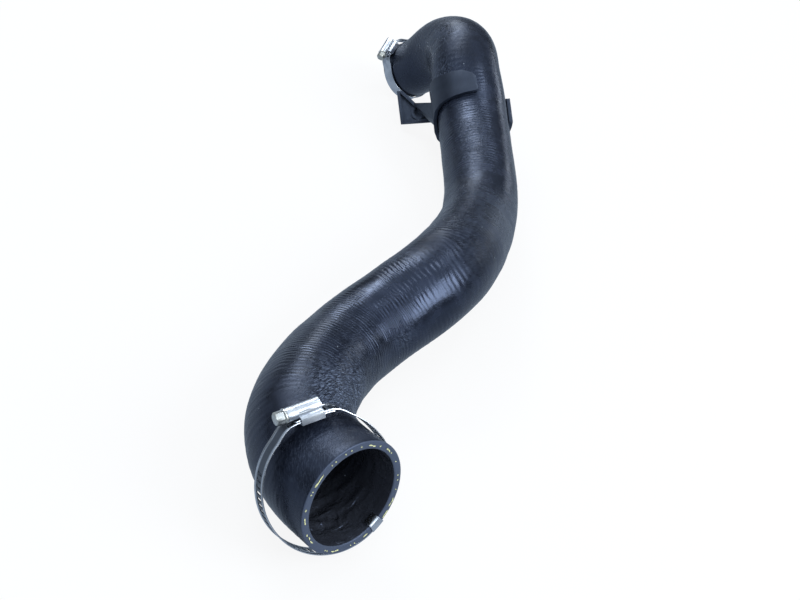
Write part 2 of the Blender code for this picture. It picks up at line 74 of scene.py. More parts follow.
# %% [markdown]
# ## Camera
# The photograph looks down on the near mouth from about 35 degrees, with
# the far end well behind it. A normal 50 mm lens gives the same narrowing
# towards the far end.

# %% Camera
CAMERA_PLACE = (-521.6, -522.9, 489.4)
CAMERA_LOOK = (0.5985, 0.5559, -0.5768)
CAMERA_RIGHT = (0.7515, -0.6390, 0.1639)

bpy.ops.object.camera_add()
camera = bpy.context.object
camera.name = "camera"
look, right = turned(CAMERA_LOOK), turned(CAMERA_RIGHT)
right = right - (right @ look) * look
right /= np.linalg.norm(right)
up = np.cross(right, look)
turn = Matrix((right, up, -look)).transposed().to_4x4()
camera.matrix_world = Matrix.Translation(in_scene(CAMERA_PLACE)) @ turn
camera.data.lens = 50.0
camera.data.sensor_width = 36.0
camera.data.clip_start = 0.01
bpy.context.scene.camera = camera
bpy.context.scene.view_settings.view_transform = "Standard"
print("camera at", [round(x, 3) for x in camera.location])

# %% [markdown]
# ## The hose's middle line
# A hose is best drawn from its middle line. Each row is a point and the
# radius of the hose there, near mouth first. A natural cubic through the
# rows gives smooth bends, and a frame carried along the line gives each
# place its own up and side, so a point of the skin is known by how far
# along it lies and at which angle.

# %% Rows of the middle line: x, y, z and radius in millimetres
ROUTE = [
    (-209.0, -228.0, 50.4, 35.00), (-209.0, -213.2, 47.9, 35.00),
    (-208.3, -198.4, 45.9, 34.85), (-205.0, -180.9, 45.3, 34.00),
    (-195.1, -161.6, 44.9, 32.85), (-180.4, -145.7, 42.2, 32.20),
    (-163.5, -132.2, 38.5, 31.90), (-145.4, -120.3, 35.0, 31.70),
    (-125.9, -110.2, 32.2, 31.60), (-105.3, -102.8, 32.1, 31.70),
    (-84.2, -99.5, 36.2, 31.90), (-63.2, -98.9, 42.9, 32.15),
    (-42.5, -98.4, 50.0, 32.35), (-21.8, -94.2, 53.7, 32.35),
    (-1.8, -85.3, 52.0, 32.20), (17.0, -74.5, 48.0, 31.95),
    (34.9, -62.9, 43.2, 31.70), (52.6, -50.8, 38.3, 31.45),
    (70.2, -38.1, 33.9, 31.20), (87.4, -24.6, 31.3, 31.05),
    (103.5, -9.8, 31.8, 31.00), (118.1, 6.3, 35.1, 31.00),
    (131.3, 23.4, 39.2, 31.05), (143.9, 40.8, 43.9, 31.20),
    (156.1, 58.2, 49.8, 31.35), (167.3, 75.4, 57.7, 31.45),
    (176.5, 92.0, 68.5, 31.50), (184.6, 109.1, 79.7, 31.50),
    (198.3, 129.3, 86.3, 31.20), (210.2, 151.3, 83.4, 30.20),
    (215.6, 171.2, 73.5, 29.20), (216.7, 185.7, 59.2, 28.30),
    (216.3, 197.7, 45.9, 27.50), (215.9, 208.7, 36.2, 27.00),
    (214.9, 219.3, 28.9, 26.75),
]


def natural_spline(knots, values):
    """Second derivatives of a natural cubic through the values."""
    n = len(knots)
    h = np.diff(knots)
    a = np.zeros((n, n))
    b = np.zeros((n, values.shape[1]))
    a[0, 0] = a[-1, -1] = 1.0
    for i in range(1, n - 1):
        a[i, i - 1] = h[i - 1]
        a[i, i] = 2.0 * (h[i - 1] + h[i])
        a[i, i + 1] = h[i]
        b[i] = 6.0 * ((values[i + 1] - values[i]) / h[i]
                      - (values[i] - values[i - 1]) / h[i - 1])
    return np.linalg.solve(a, b)


# %% The line in steps of a millimetre, with a frame at each step
rows = np.array(ROUTE)
knots = np.concatenate(([0.0], np.cumsum(
    np.linalg.norm(np.diff(rows[:, :3], axis=0), axis=1))))
second = natural_spline(knots, rows)
fine = np.linspace(0.0, knots[-1], int(knots[-1]) + 1)
cell = np.clip(np.searchsorted(knots, fine, side="right") - 1, 0,
               len(knots) - 2)
span = (knots[cell + 1] - knots[cell])[:, None]
p = ((knots[cell + 1] - fine))[:, None] / span
q = (fine - knots[cell])[:, None] / span
line = (p * rows[cell] + q * rows[cell + 1]
        + ((p ** 3 - p) * second[cell] + (q ** 3 - q) * second[cell + 1])
        * span ** 2 / 6.0)
line_point, line_radius = line[:, :3], line[:, 3]
line_s = np.concatenate(([0.0], np.cumsum(
    np.linalg.norm(np.diff(line_point, axis=0), axis=1))))
HOSE_LENGTH = line_s[-1]
line_t = np.gradient(line_point, axis=0)
line_t /= np.linalg.norm(line_t, axis=1)[:, None]
normals = []
n = np.array((0.0, 0.0, 1.0))
for t in line_t:
    n = n - (n @ t) * t
    n = n / np.linalg.norm(n)
    normals.append(n)
line_n = np.array(normals)
line_b = np.cross(line_t, line_n)
print("hose length", round(HOSE_LENGTH, 1), "mm")


def along(s, values):
    """Reads a list kept along the line at the distances s."""
    if values.ndim == 1:
        return np.interp(s, line_s, values)
    return np.stack([np.interp(s, line_s, values[:, k]) for k in range(3)], -1)


def on_hose(s, g, radius):
    """Points at distance s along the hose, angle g and a radius."""
    s, g, radius = np.broadcast_arrays(np.asarray(s, float),
                                       np.asarray(g, float), radius)
    centre = along(s, line_point)
    return (centre + (radius * np.cos(g))[..., None] * along(s, line_n)
            + (radius * np.sin(g))[..., None] * along(s, line_b))


# %% [markdown]
# ## Helpers for picking, shaping and finishing
# A finished piece is given its material and rides on its body, and the
# CAD nodes that it stands in for are hidden.

# %% Selecting, shaping, finishing
def only(piece):
    bpy.ops.object.select_all(action="DESELECT")
    piece.select_set(True)
    bpy.context.view_layer.objects.active = piece


def apply_all(piece):
    only(piece)
    for step in list(piece.modifiers):
        bpy.ops.object.modifier_apply(modifier=step.name)


def clean_mesh(piece, merge=0.0, flatten=0.0):
    """Merges close points, joins flat faces and turns all faces outward."""
    only(piece)
    bpy.ops.object.mode_set(mode="EDIT")
    bpy.ops.mesh.select_all(action="SELECT")
    if merge:
        bpy.ops.mesh.remove_doubles(threshold=merge)
    if flatten:
        bpy.ops.mesh.dissolve_limited(angle_limit=flatten)
    bpy.ops.mesh.normals_make_consistent(inside=False)
    bpy.ops.object.mode_set(mode="OBJECT")


def new_grid(name, columns, rows):
    """A flat grid, and the column and row of each of its points."""
    bpy.ops.object.select_all(action="DESELECT")
    bpy.ops.mesh.primitive_grid_add(x_subdivisions=columns,
                                    y_subdivisions=rows, size=1.0)
    piece = bpy.context.object
    piece.name = name
    flat = np.zeros(len(piece.data.vertices) * 3)
    piece.data.vertices.foreach_get("co", flat)
    flat = flat.reshape(-1, 3) + 0.5
    return (piece, np.rint(flat[:, 0] * columns).astype(int),
            np.rint(flat[:, 1] * rows).astype(int))


def place_points(piece, points):
    """Moves the piece's points to measured places in millimetres."""
    piece.data.vertices.foreach_set(
        "co", in_scene(points).astype(np.float32).ravel())


def paint(piece, name, values):
    layer = piece.data.attributes.new(name, "FLOAT", "POINT")
    layer.data.foreach_set("value", values.astype(np.float32))


def angle_between(g, degrees):
    """The angle from a direction in degrees to g, -180 to 180."""
    return (np.degrees(g) - degrees + 180.0) % 360.0 - 180.0


def smooth_step(x):
    x = np.clip(x, 0.0, 1.0)
    return x * x * (3 - 2 * x)


def finish(piece, finish_material, body, replaces=()):
    piece.data.materials.clear()
    piece.data.materials.append(finish_material)
    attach(piece, body)
    if replaces:
        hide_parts(*replaces)
    print(piece.name, len(piece.data.polygons), "faces")


# %% [markdown]
# ## Shader effects that several finishes share
# Each is a node group with named inputs. `grain` is the fine leathery
# surface of moulded rubber and plastic, `specks` is the odd grain of dust,
# and `rolling_marks` are the hair lines that rolling leaves on strip steel.

# %% A small kit for building node trees
def new_group(name, inputs, outputs):
    tree = bpy.data.node_groups.new(name, "ShaderNodeTree")
    for label, kind, value in inputs:
        socket = tree.interface.new_socket(label, in_out="INPUT",
                                           socket_type=kind)
        socket.default_value = value
    for label, kind in outputs:
        tree.interface.new_socket(label, in_out="OUTPUT", socket_type=kind)
    start = tree.nodes.new("NodeGroupInput")
    end = tree.nodes.new("NodeGroupOutput")
    return tree, start, end


def node(tree, kind, links=None, **settings):
    """Adds a node, sets its options and values, and links its inputs."""
    made = tree.nodes.new(kind)
    for key, value in settings.items():
        setattr(made, key, value)
    for key, value in (links or {}).items():
        if isinstance(value, bpy.types.NodeSocket):
            tree.links.new(value, made.inputs[key])
        else:
            made.inputs[key].default_value = value
    return made


def maths(tree, operation, a, b=0.0, c=0.0):
    made = node(tree, "ShaderNodeMath", {0: a, 1: b, 2: c},
                operation=operation)
    return made.outputs[0]


def fade(tree, value, low, high, to_low=0.0, to_high=1.0):
    """Maps a value smoothly from one range to another."""
    made = node(tree, "ShaderNodeMapRange",
                {"Value": value, "From Min": low, "From Max": high,
                 "To Min": to_low, "To Max": to_high},
                interpolation_type="SMOOTHSTEP")
    return made.outputs["Result"]


def blend_colours(tree, factor, a, b):
    made = node(tree, "ShaderNodeMix", data_type="RGBA")
    for index, value in ((0, factor), (6, a), (7, b)):
        if isinstance(value, bpy.types.NodeSocket):
            tree.links.new(value, made.inputs[index])
        else:
            made.inputs[index].default_value = value
    return made.outputs[2]


def object_place(tree):
    return node(tree, "ShaderNodeTexCoord").outputs["Object"]


def noise(tree, vector, scale, stretch=None, **settings):
    """Noise at a scale, drawn out along the axes that stretch makes small."""
    if stretch:
        vector = node(tree, "ShaderNodeMapping",
                      {"Vector": vector, "Scale": stretch}).outputs["Vector"]
    return node(tree, "ShaderNodeTexNoise",
                {"Vector": vector, "Scale": scale, **settings}).outputs["Fac"]


def add_bump(tree, shader, height, distance, strength):
    made = node(tree, "ShaderNodeBump",
                {"Height": height, "Distance": distance,
                 "Strength": strength})
    tree.links.new(made.outputs["Normal"], shader.inputs["Normal"])


# %% Shared effects
LARGE_TO_SMALL = 0.06      # the mottling's scale as a share of the grain's
grain, start, end = new_group(
    "grain", [("Scale", "NodeSocketFloat", 900.0),
              ("Roughening", "NodeSocketFloat", 0.6)],
    [("Height", "NodeSocketFloat"), ("Mottle", "NodeSocketFloat")])
place = object_place(grain)
small = noise(grain, place, start.outputs["Scale"], Detail=4.0,
              Roughness=start.outputs["Roughening"])
large = noise(grain, place, maths(grain, "MULTIPLY", start.outputs["Scale"],
                                  LARGE_TO_SMALL),
              Detail=3.0, Roughness=0.55)
grain.links.new(small, end.inputs["Height"])
grain.links.new(fade(grain, large, 0.35, 0.68), end.inputs["Mottle"])

specks, start, end = new_group(
    "specks", [("Scale", "NodeSocketFloat", 160.0),
               ("Amount", "NodeSocketFloat", 0.06)],
    [("Mask", "NodeSocketFloat")])
dots = node(specks, "ShaderNodeTexVoronoi",
            {"Vector": object_place(specks), "Scale": start.outputs["Scale"]})
shown = node(specks, "ShaderNodeSeparateColor",
             {"Color": dots.outputs["Color"]}).outputs["Red"]
rare = maths(specks, "LESS_THAN", shown, start.outputs["Amount"])
dot = fade(specks, dots.outputs["Distance"], 0.05, 0.13, 1.0, 0.0)
specks.links.new(maths(specks, "MULTIPLY", rare, dot), end.inputs["Mask"])

rolling, start, end = new_group(
    "rolling_marks", [("Scale", "NodeSocketFloat", 260.0)],
    [("Height", "NodeSocketFloat"), ("Tarnish", "NodeSocketFloat")])
place = object_place(rolling)
hair = noise(rolling, place, start.outputs["Scale"], (1.0, 1.0, 7.0),
             Detail=5.0, Roughness=0.65)
tarnish = noise(rolling, place, 95.0, Detail=4.0, Roughness=0.6,
                Distortion=0.6)
rolling.links.new(hair, end.inputs["Height"])
rolling.links.new(fade(rolling, tarnish, 0.42, 0.70), end.inputs["Tarnish"])

# %% [markdown]
# ## Rubber
# The hose was wound with cloth while it cured, so fine rings run round it,
# and the inside of each bend is puckered and scuffed. The pale scuff colour
# also serves as a painted highlight on the puckers. The skin carries how
# far along and round each point is in its UV map, and six painted
# attributes that the finish reads: `ruff` where it is puckered, `ribbed`
# where the rings stand out, `dull` where it shines less, `wrinkled` in the
# crumpled part of the bore, `cut` on the sawn rim and `inside` in the bore.

# %% Starting a finish
def new_finish(name):
    made = bpy.data.materials.new(name)
    made.use_nodes = True
    tree = made.node_tree
    return made, tree, tree.nodes["Principled BSDF"]


def use_group(tree, group, **values):
    made = tree.nodes.new("ShaderNodeGroup")
    made.node_tree = group
    for key, value in values.items():
        made.inputs[key].default_value = value
    return made


def painted(tree, name):
    return node(tree, "ShaderNodeAttribute",
                attribute_name=name).outputs["Fac"]


# %% Rubber: what the marks are made from
rubber, tree, shader = new_finish("satin_rubber")
uv = node(tree, "ShaderNodeUVMap", uv_map="wrap").outputs["UV"]
round_along = node(tree, "ShaderNodeSeparateXYZ", {"Vector": uv})
ruff, ribbed, dull, wrinkled, cut, inside = (
    painted(tree, name)
    for name in ("ruff", "ribbed", "dull", "wrinkled", "cut", "inside"))
skin = use_group(tree, grain, Scale=1500.0, Roughening=0.65)
dust = use_group(tree, specks, Scale=210.0, Amount=0.035)

# rings left by the wrapping: a wave along the hose that wanders a little
RING_PITCH = 3.3      # millimetres
RING_WANDER = 22.0    # how far the wandering shifts the wave, in radians
wander = noise(tree, uv, 1.0, (5.0, 16.0, 1.0), Detail=3.0, Roughness=0.6)
along_mm = maths(tree, "MULTIPLY", round_along.outputs["Y"], HOSE_LENGTH)
phase = maths(tree, "MULTIPLY_ADD", wander, RING_WANDER,
              maths(tree, "MULTIPLY", along_mm, 2 * math.pi / RING_PITCH))
ring_depth = noise(tree, uv, 1.0, (7.0, 20.0, 1.0), Detail=2.0)
ring_depth = fade(tree, ring_depth, 0.38, 0.62, 0.25, 1.0)
ring_depth = maths(tree, "MULTIPLY", ring_depth, ribbed)
rings = maths(tree, "MULTIPLY", maths(tree, "SINE", phase), ring_depth)

# puckers: short creases across the line of pull, deep where it is painted
crease = noise(tree, uv, 1.0, (34.0, 420.0, 1.0), Detail=5.0,
               Roughness=0.62, Distortion=0.7)
creases = maths(tree, "MULTIPLY", crease, ruff)
cloth = noise(tree, uv, 1.0, (210.0, 60.0, 1.0), Detail=4.0, Roughness=0.6)

# fine slanting hatch: the print of the cloth, torn where it is puckered
HATCH_SLANT = 0.75    # radians
slanted = node(tree, "ShaderNodeMapping",
               {"Vector": uv, "Scale": (200.0, HOSE_LENGTH, 1.0),
                "Rotation": (0.0, 0.0, HATCH_SLANT)}).outputs["Vector"]
hatch = noise(tree, slanted, 1.0, (1.5, 0.22, 1.0), Detail=4.0,
              Roughness=0.65)
torn = maths(tree, "MULTIPLY", ruff, fade(tree, hatch, 0.49, 0.60))

# the near bore is crumpled like thick foil
wrinkles = noise(tree, object_place(tree), 120.0, Detail=3.0, Roughness=0.5,
                 Distortion=0.8)
wrinkles = maths(tree, "MULTIPLY", wrinkles, wrinkled)

# %% Rubber: its relief, each mark with how high it stands
height = maths(tree, "MULTIPLY", skin.outputs["Height"], 0.10)
for mark, high in ((rings, 0.58), (torn, 0.75), (wrinkles, 11.0),
                   (creases, 1.0), (cloth, 0.22)):
    height = maths(tree, "MULTIPLY_ADD", mark, high, height)
add_bump(tree, shader, height, 0.0004, 0.9)

# %% Rubber: blue-black, paler where it is scuffed and on the cut rim; the scuff colour also paints a highlight on the puckers
DEEP, WORN = (0.0045, 0.0058, 0.0105, 1.0), (0.009, 0.0115, 0.0205, 1.0)
# the first colour here is pale scuffing that also serves as a painted
# highlight on the puckers' hatch
SCUFF_AND_HIGHLIGHT, SAWN = (0.23, 0.275, 0.375, 1.0), (0.054, 0.065, 0.094, 1.0)
# the bore's paler colour: dust, and painted fill light for a bore that gets
# little light
BORE_DUST_AND_FILL, DUST = (0.028, 0.030, 0.038, 1.0), (0.33, 0.36, 0.40, 1.0)
# where the scuff colour goes: scuffed puckers, with their painted highlight
scuff_and_highlight = maths(tree, "MAXIMUM", torn, maths(
    tree, "MULTIPLY", ruff, fade(tree, crease, 0.55, 0.75)))
colour = blend_colours(tree, skin.outputs["Mottle"], DEEP, WORN)
for mask, paint_colour in ((inside, BORE_DUST_AND_FILL),
                           (maths(tree, "MULTIPLY", scuff_and_highlight, 0.75), SCUFF_AND_HIGHLIGHT),
                           (cut, SAWN), (dust.outputs["Mask"], DUST)):
    colour = blend_colours(tree, mask, colour, paint_colour)
tree.links.new(colour, shader.inputs["Base Color"])

# %% Rubber: its shine, each mark with how much rougher it is
rough = fade(tree, skin.outputs["Mottle"], 0.0, 1.0, 0.23, 0.33)
for mark, rougher in ((scuff_and_highlight, 0.15), (cut, 0.14), (inside, -0.04),
                      (dull, 0.20), (ribbed, -0.06)):
    rough = maths(tree, "MULTIPLY_ADD", mark, rougher, rough)
tree.links.new(rough, shader.inputs["Roughness"])
tree.links.new(fade(tree, dull, 0.0, 1.0, 0.72, 0.26),
               shader.inputs["Specular IOR Level"])
shader.inputs["Specular Tint"].default_value = (0.58, 0.69, 1.0, 1.0)
print("rubber has", len(tree.nodes), "nodes")

# %% [markdown]
# ## The hose's skin
# A flat grid is rolled round the middle line: one way of the grid runs
# round the hose, the other runs along the outside, over the far rim, back
# through the bore and over the near rim to where it began. Then the seams
# are merged. This keeps one clean UV map, and the puckers can be real dents
# in the mesh as well as marks in the finish.

# %% Marked places: along, angle, reach along, reach round, strength
RUFFS = [
    (73, 38, 24, 30, 1.00), (54, 14, 13, 20, 0.50), (104, 72, 20, 26, 0.75),
    (128, 44, 16, 14, 0.15), (16, 345, 20, 50, 0.16),
    (198, 76, 12, 12, 0.30), (236, 330, 15, 20, 0.30),
    (150, 26, 30, 24, 0.14), (300, 20, 40, 60, 0.20), (372, 10, 26, 70, 0.30),
    (470, 340, 70, 50, 0.14), (560, 290, 18, 40, 0.45),
    (610, 300, 26, 60, 0.25),
]
RIBBED = [
    (190, 20, 80, 75, 1.0), (110, 60, 35, 60, 1.0),
    (135, 44, 26, 22, 1.0), (470, 350, 55, 60, 0.9),
    (600, 300, 60, 90, 0.25),
]
DULL = [
    (12, 355, 24, 60, 0.55), (58, 346, 16, 30, 0.6), (256, 350, 13, 18, 1.0),
    (584, 345, 14, 40, 0.6), (574, 8, 14, 30, 0.8), (284, 46, 22, 30, 1.0),
]
CRUMPLED = (20, 195, 18, 50)      # the crumpled patch in the near bore
RIBS_ANYWHERE = 0.12              # how far the rings show outside RIBBED
HOSE_ROUND = 128                  # columns of the grid round the hose
WALL = 4.5
NEAR_BORE, FAR_BORE = 30.0, 22.5
NEAR_SOCKET, NEAR_BLEND = 26.0, 22.0      # straight, then eased to the route
FAR_SOCKET, FAR_BLEND = 14.0, 30.0
RIM_ROUND = 0.7
near_radius, far_radius = line_radius[0], line_radius[-1]


def bore_radius(s):
    near = smooth_step((s - NEAR_SOCKET) / NEAR_BLEND)
    far = smooth_step((HOSE_LENGTH - s - FAR_SOCKET) / FAR_BLEND)
    body = along(s, line_radius) - WALL
    return FAR_BORE * (1 - far) + (NEAR_BORE * (1 - near) + body * near) * far


def strength_at(s, g, places):
    """How strongly the listed places are marked here, 0 to 1."""
    total = np.zeros(np.broadcast(s, g).shape)
    for s0, g0, ds, dg, strength in places:
        total += strength * np.exp(-((s - s0) / ds) ** 2
                                   - (angle_between(g, g0) / dg) ** 2)
    return np.clip(total, 0.0, 1.0)


def waves(s, g, seed, length, count):
    """Soft irregular waves that close round the hose, about -1 to 1."""
    dice = np.random.default_rng(seed)
    total = np.zeros(np.broadcast(s, g).shape)
    for _ in range(count):
        total += np.sin(2 * math.pi * s / (length * dice.uniform(0.6, 1.7))
                        + dice.integers(-4, 5) * g + dice.uniform(0, 6.3))
    return total / math.sqrt(count)


def rim_edge(end, into, wall, swell, kind):
    """Rows round one edge of a rim, from the wall to the rim's face.

    The hose ends at `end` and goes on in the direction `into`. The wall's
    surface has the radius `wall`, and its rubber lies to the side `swell`.
    """
    rows_of_edge = []
    for degrees in (30, 60, 90):
        a = math.radians(degrees)
        rows_of_edge.append((end + into * RIM_ROUND * (1 - math.sin(a)),
                             wall + swell * RIM_ROUND * (1 - math.cos(a)),
                             kind))
    return rows_of_edge


# %% The profile that the grid follows: distance along, radius, kind
outer_s = np.concatenate((np.linspace(RIM_ROUND, 14.0, 8),
                          np.arange(15.4, 50.0, 1.6),
                          np.arange(50.0, 130.0, 1.0),
                          np.arange(130.0, HOSE_LENGTH - 3.0, 1.6),
                          [HOSE_LENGTH - RIM_ROUND]))
inner_s = np.concatenate(([HOSE_LENGTH - RIM_ROUND],
                          np.arange(HOSE_LENGTH - 4.0, 90.0, -9.0),
                          np.arange(88.0, 2.0, -1.8), [RIM_ROUND]))
profile = [(s, 0.0, "outer") for s in outer_s]
profile += rim_edge(HOSE_LENGTH, -1, far_radius, -1, "rim")
profile += rim_edge(HOSE_LENGTH, -1, FAR_BORE, 1, "rim")[::-1]
profile += [(s, 0.0, "inner") for s in inner_s]
profile += rim_edge(0.0, 1, NEAR_BORE, 1, "cut")
profile.append((0.0, 0.5 * (NEAR_BORE + near_radius), "cut"))
profile += rim_edge(0.0, 1, near_radius, -1, "cut")[::-1]
profile.append(profile[0])
print("profile of", len(profile), "rows")

# %% Where each point of the grid lies on the hose
skin_piece, column, row = new_grid("hose_skin", HOSE_ROUND, len(profile) - 1)
angle = (column % HOSE_ROUND) * 2 * math.pi / HOSE_ROUND
row_s = np.array([r[0] for r in profile])[row]
row_radius = np.array([r[1] for r in profile])[row]
kind = np.array([r[2] for r in profile])[row]
outer, inner = kind == "outer", kind == "inner"
puckered = strength_at(row_s, angle, RUFFS)
rib_share = strength_at(row_s, angle, RIBBED)
rib_share = RIBS_ANYWHERE + (1.0 - RIBS_ANYWHERE) * rib_share

# %% Dents of the outside, in millimetres: unevenness, swells and puckers
dent = 0.10 + 0.05 * waves(row_s, angle, 3, 3.4, 9)
dent += 0.22 * (1 + waves(row_s, angle, 7, 34.0, 8)) * 0.5
wandering = 1.2 * waves(row_s, angle, 5, 16.0, 5)
dent += puckered * (0.42 + 0.34 * waves(
    row_s + wandering, 0.6 * np.sin(angle * 2), 11, 5.2, 4))
DEEPEST, CALM_END = 1.4, 7.0       # the dents fade out towards both ends
calm = np.clip(np.minimum(row_s, HOSE_LENGTH - row_s) / CALM_END, 0.0, 1.0)
radius = np.where(outer, along(row_s, line_radius)
                  - np.clip(dent, 0.02, DEEPEST) * calm, row_radius)

# %% Crumpling of the bore, then the points go to their places
crumpled = 0.30 + np.exp(
    -((row_s - CRUMPLED[0]) / CRUMPLED[2]) ** 2
    - (angle_between(angle, CRUMPLED[1]) / CRUMPLED[3]) ** 2)
crumple = 0.85 * crumpled * waves(row_s, 2 * angle, 23, 9.0, 12) - 0.2
CALM_MOUTH, MOUTH_FADE, FAR_FADE = 5.0, 12.0, 20.0
calm = np.clip((row_s - CALM_MOUTH) / MOUTH_FADE, 0.0, 1.0)
calm *= np.clip((HOSE_LENGTH - row_s) / FAR_FADE, 0.0, 1.0)
radius = np.where(inner, bore_radius(row_s) + crumple * calm, radius)
place_points(skin_piece, on_hose(row_s, angle, radius))

# %% Its UV map and painted attributes
mesh = skin_piece.data
corner = np.zeros(len(mesh.loops), int)
mesh.loops.foreach_get("vertex_index", corner)
wrap = mesh.uv_layers[0]
wrap.name = "wrap"
uv_pairs = np.stack((column / HOSE_ROUND, row_s / HOSE_LENGTH), -1)[corner]
wrap.data.foreach_set("uv", uv_pairs.astype(np.float32).ravel())
for name, values in (("ruff", puckered * outer),
                     ("ribbed", rib_share * outer),
                     ("dull", strength_at(row_s, angle, DULL) * outer),
                     ("wrinkled", np.clip(crumpled - 0.2, 0, 1) * inner),
                     ("cut", (kind == "cut") * 1.0),
                     ("inside", inner * 1.0)):
    paint(skin_piece, name, values)
clean_mesh(skin_piece, merge=0.00001)
bpy.ops.object.shade_smooth()
finish(skin_piece, rubber, "hose_body", ["hose"])

# %% [markdown]
# ## Yarn ends
# The hose has cloth plies in its wall. Where the near end was sawn off,
# their yellow ends show in the middle of the rim. One short end is modelled
# and copied round the rim, each copy turned and stretched a little.

# %% Yarn finish and one end
yarn, tree, shader = new_finish("aramid_yarn")
threads = noise(tree, object_place(tree), 2600.0, Detail=2.0)
tree.links.new(blend_colours(tree, threads, (0.50, 0.47, 0.16, 1.0),
                             (0.86, 0.84, 0.50, 1.0)),
               shader.inputs["Base Color"])
shader.inputs["Roughness"].default_value = 0.8
add_bump(tree, shader, threads, 0.0001, 0.6)

# angle round the rim, radius, length and lift of each end, in millimetres
YARN_ENDS = [
    (314, 33.0, 8.5, 0.5), (309, 33.2, 3.0, 0.3), (299, 33.2, 1.0, 0.2),
    (302, 33.0, 0.9, 0.2), (332, 32.9, 0.8, 0.2), (337, 32.8, 1.0, 0.2),
    (349, 32.7, 0.8, 0.2), (356, 32.8, 1.0, 0.2), (8, 32.4, 0.9, 0.2),
    (20, 32.2, 3.4, 0.4), (25, 32.0, 2.4, 0.3), (34, 32.2, 1.1, 0.3),
    (46, 32.4, 2.0, 0.6), (50, 32.3, 2.6, 0.5), (55, 32.2, 1.0, 0.3),
    (70, 32.1, 0.8, 0.2), (89, 32.4, 0.9, 0.2), (95, 32.6, 0.8, 0.2),
    (106, 32.8, 0.8, 0.2), (118, 33.0, 3.6, 0.4), (123, 33.0, 2.6, 0.4),
    (132, 33.4, 3.8, 0.5), (136, 33.4, 2.6, 0.3), (162, 33.0, 3.6, 0.4),
    (176, 32.8, 0.9, 0.2), (181, 32.7, 0.8, 0.2), (199, 32.9, 3.4, 0.4),
    (204, 32.9, 2.6, 0.4), (212, 32.8, 0.9, 0.2), (215, 32.7, 0.8, 0.2),
    (241, 32.4, 3.2, 0.4), (247, 32.5, 2.4, 0.3), (253, 32.8, 1.4, 0.3),
    (269, 33.0, 2.8, 0.4), (273, 33.1, 1.9, 0.5), (283, 33.3, 1.4, 0.3),
]
LONG_END = 2.0        # ends longer than this are bowed
YARN_DEEP = 0.5       # how deep an end is, as a share of its thickness
bpy.ops.mesh.primitive_uv_sphere_add(segments=8, ring_count=6, radius=0.5)
pattern = bpy.context.object
pattern.name = "yarn_pattern"
ends = []
for number, (degrees, out, length, lift) in enumerate(YARN_ENDS):
    piece = pattern.copy()
    piece.data = pattern.data.copy()
    bpy.context.collection.objects.link(piece)
    x, y, z = np.array([v.co for v in piece.data.vertices]).T
    thick = 0.8 if length > LONG_END else 0.9
    bow = 0.35 * math.sin(number * 2.4) * (length > LONG_END)
    skew = 0.5 * math.cos(number * 1.7)
    g = math.radians(degrees) + x * length / out
    r = out + y * thick + bow * (1 - 4 * x ** 2) + skew * x
    stands_out = z * YARN_DEEP * thick + lift * 0.35
    place_points(piece, on_hose(np.zeros(len(g)), g, r)
                 - stands_out[:, None] * line_t[0])
    ends.append(piece)
bpy.data.objects.remove(pattern, do_unlink=True)
only(ends[0])
for piece in ends:
    piece.select_set(True)
bpy.ops.object.join()
yarn_ends = bpy.context.object
yarn_ends.name = "rim_yarn_ends"
clean_mesh(yarn_ends)
bpy.ops.object.shade_smooth()
finish(yarn_ends, yarn, "hose_body")

# %% [markdown]
# ## Metals
# The housings and screws are zinc plated: bright, a little cloudy, with
# darker tarnish in places. The bands and the strip over the rim are
# bright rolled steel with hair lines. The middle of each band is painted
# darker, a painted dark reflection of the surroundings that the steel
# mirrors there. All three finishes share the rolling marks.

# %% Metal finishes
# colour of the painted dark reflection along the middle of a band
PAINTED_DARK_REFLECTION = (0.12, 0.13, 0.15, 1.0)


def metal_finish(name, bright, tarnished, rough_low, rough_high, scale,
                 depth):
    made, tree, shader = new_finish(name)
    marks = use_group(tree, rolling, Scale=scale)
    colour = blend_colours(tree, marks.outputs["Tarnish"], bright, tarnished)
    # a band's middle is painted darker here: a painted dark reflection
    colour = blend_colours(tree, painted(tree, "painted_dark_reflection"), colour, PAINTED_DARK_REFLECTION)
    tree.links.new(colour, shader.inputs["Base Color"])
    shader.inputs["Metallic"].default_value = 1.0
    roughness = fade(tree, marks.outputs["Tarnish"], 0.0, 1.0, rough_low,
                     rough_high)
    roughness = maths(tree, "MULTIPLY_ADD", marks.outputs["Height"], 0.10,
                      roughness)
    tree.links.new(roughness, shader.inputs["Roughness"])
    add_bump(tree, shader, marks.outputs["Height"], 0.0001, depth)
    return made


zinc = metal_finish("zinc_plate", (0.78, 0.80, 0.83, 1.0),
                    (0.52, 0.545, 0.59, 1.0), 0.24, 0.36, 420.0, 0.02)
screw_zinc = metal_finish("screw_plate", (0.80, 0.80, 0.77, 1.0),
                          (0.58, 0.57, 0.50, 1.0), 0.22, 0.34, 500.0, 0.02)
strip = metal_finish("strip_steel", (0.74, 0.76, 0.80, 1.0),
                     (0.50, 0.53, 0.58, 1.0), 0.16, 0.26, 240.0, 0.03)


# %% [markdown]
# ## Clamps
# The CAD model already has the right shapes for the housings with their
# straps and barrels, for the screws, the rim's strip and the holder. What
# it lacks is the small rounding that every pressed, rolled and moulded edge
# has. So each is copied, its loose triangles are merged into faces, its
# edges are bevelled, and the copy stands in for the node. The two bands are
# modelled anew below, for their rolled edges.

# %% Copy a CAD node with its edges rounded
def add_bevel(piece, width, segments, from_angle):
    edge = piece.modifiers.new("rounded edges", "BEVEL")
    edge.width = width
    edge.segments = segments
    edge.limit_method = "ANGLE"
    edge.angle_limit = from_angle


MERGE, FLAT = 0.000004, math.radians(1.0)
BEVEL_FROM = math.radians(32.0)


